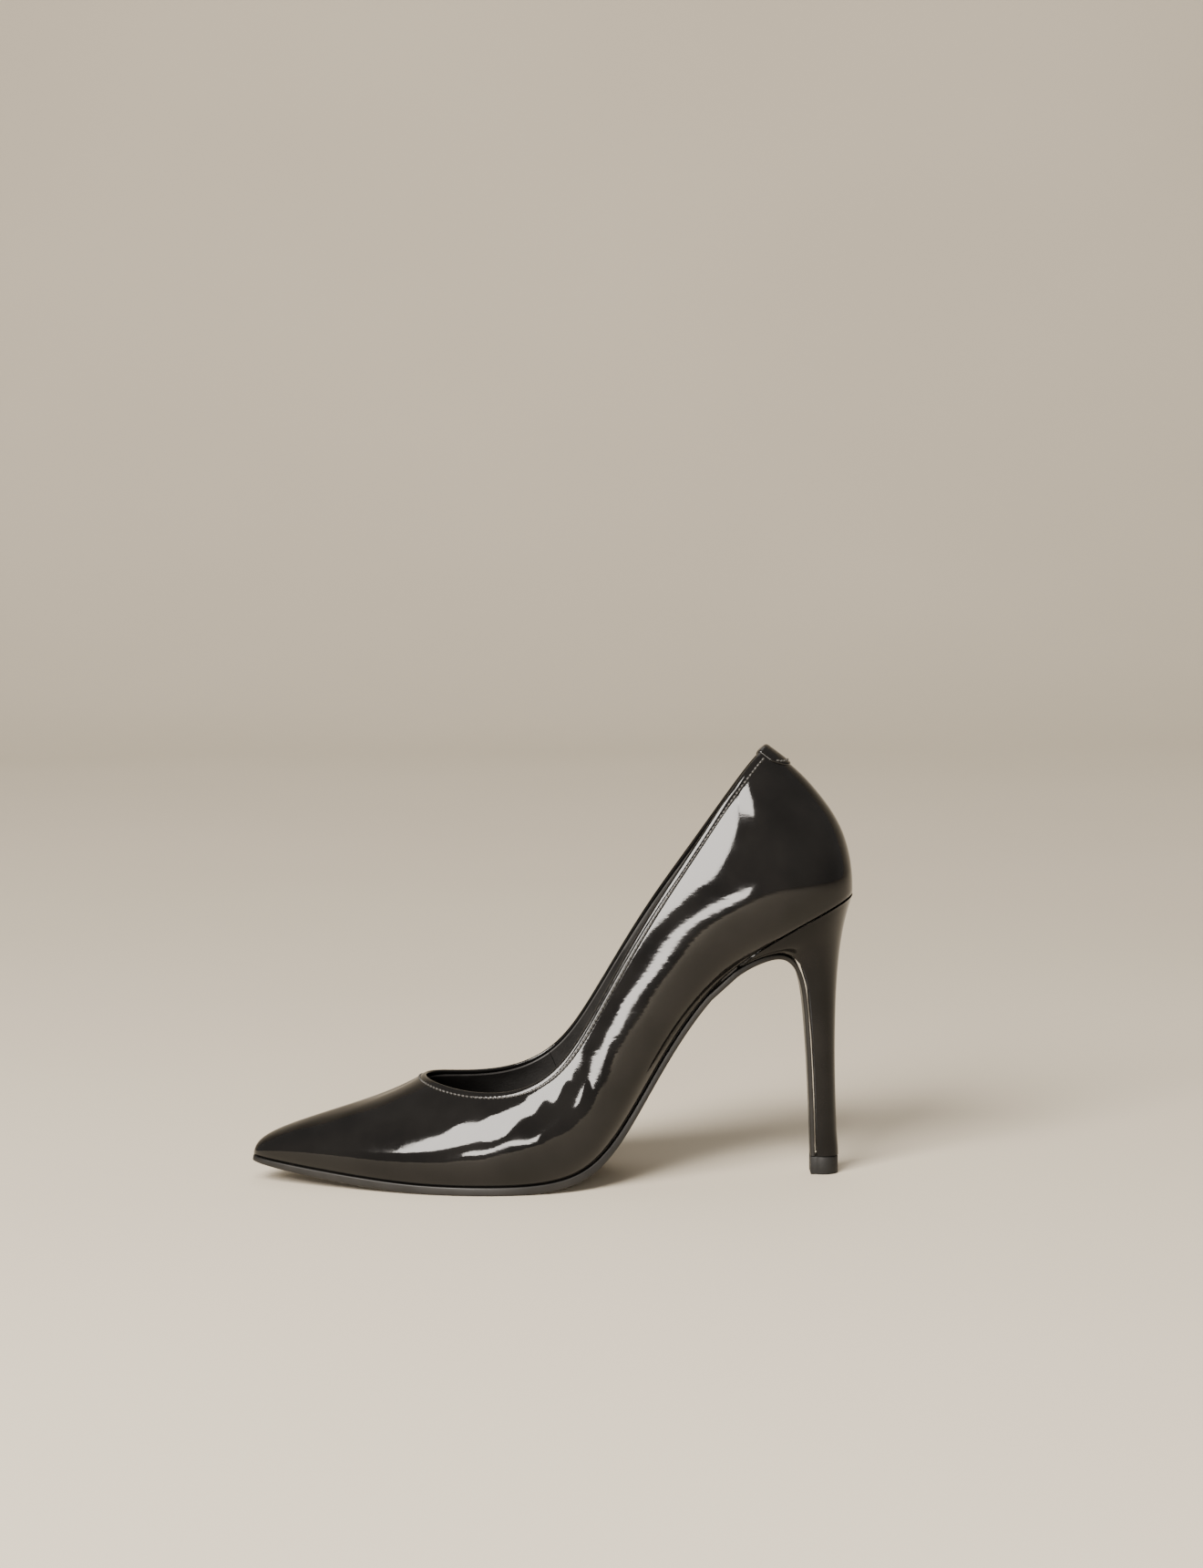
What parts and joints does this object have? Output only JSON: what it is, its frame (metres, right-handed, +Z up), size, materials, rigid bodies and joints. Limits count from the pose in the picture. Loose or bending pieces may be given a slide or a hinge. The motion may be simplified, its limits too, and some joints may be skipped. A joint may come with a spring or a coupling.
{
  "type": "high heel pump",
  "caption": "Left high heel pump with a pointed toe, glossy upper sewn round the topline, slim covered heel and a top piece that pulls out of the heel on its pin.",
  "frame": {"origin": "centre of the overall box, on the ground plane that the tread and the top piece stand on", "axes": "+Z up, -X towards the toe, +X towards the heel, -Y towards the outer (lateral) side of a left foot, +Y towards the inner side"},
  "size_m": [0.2188, 0.075, 0.1569],
  "materials": {
    "patent_leather": "mirror-gloss black patent coating",
    "lining_leather": "matte black lining",
    "sock_leather": "matte black with fine grain",
    "stiffener": "fibrous thermoplastic sheet",
    "thread": "waxed black polyester thread",
    "fibreboard": "pressed cellulose board",
    "foam": "open-cell cushioning foam",
    "cork": "cork composition",
    "spring_steel": "bright steel",
    "heel_plastic": "moulded black plastic",
    "sole_resin": "satin black resin sole",
    "top_piece_urethane": "matte black urethane"
  },
  "bodies": {
    "shoe": {"upper": "patent_leather", "vamp_lining": "lining_leather", "quarter_lining": "lining_leather", "toe_puff": "stiffener", "heel_counter": "stiffener", "back_tab": "patent_leather", "topline_thread": "thread", "side_seam_thread": "thread", "back_tab_thread": "thread", "insole_board": "fibreboard", "insole_foam": "foam", "sock_lining": "sock_leather", "bottom_filler": "cork", "steel_shank": "spring_steel", "shank_rivet_1": "spring_steel", "shank_rivet_2": "spring_steel", "heel_nail_outer_front": "spring_steel", "heel_nail_inner_front": "spring_steel", "heel_nail_outer_rear": "spring_steel", "heel_nail_inner_rear": "spring_steel", "heel_screw": "spring_steel", "heel_cover": "patent_leather", "heel_block": "heel_plastic", "heel_tube": "spring_steel", "outsole": "sole_resin"},
    "heel_tip": {"top_piece": "top_piece_urethane", "top_piece_pin": "spring_steel"}
  },
  "joints": [
    {"name": "top_piece_pull", "type": "slide", "parent": "shoe", "child": "heel_tip", "axis": [0, 0, -1], "range_m": [0, 0.018]}
  ]
}
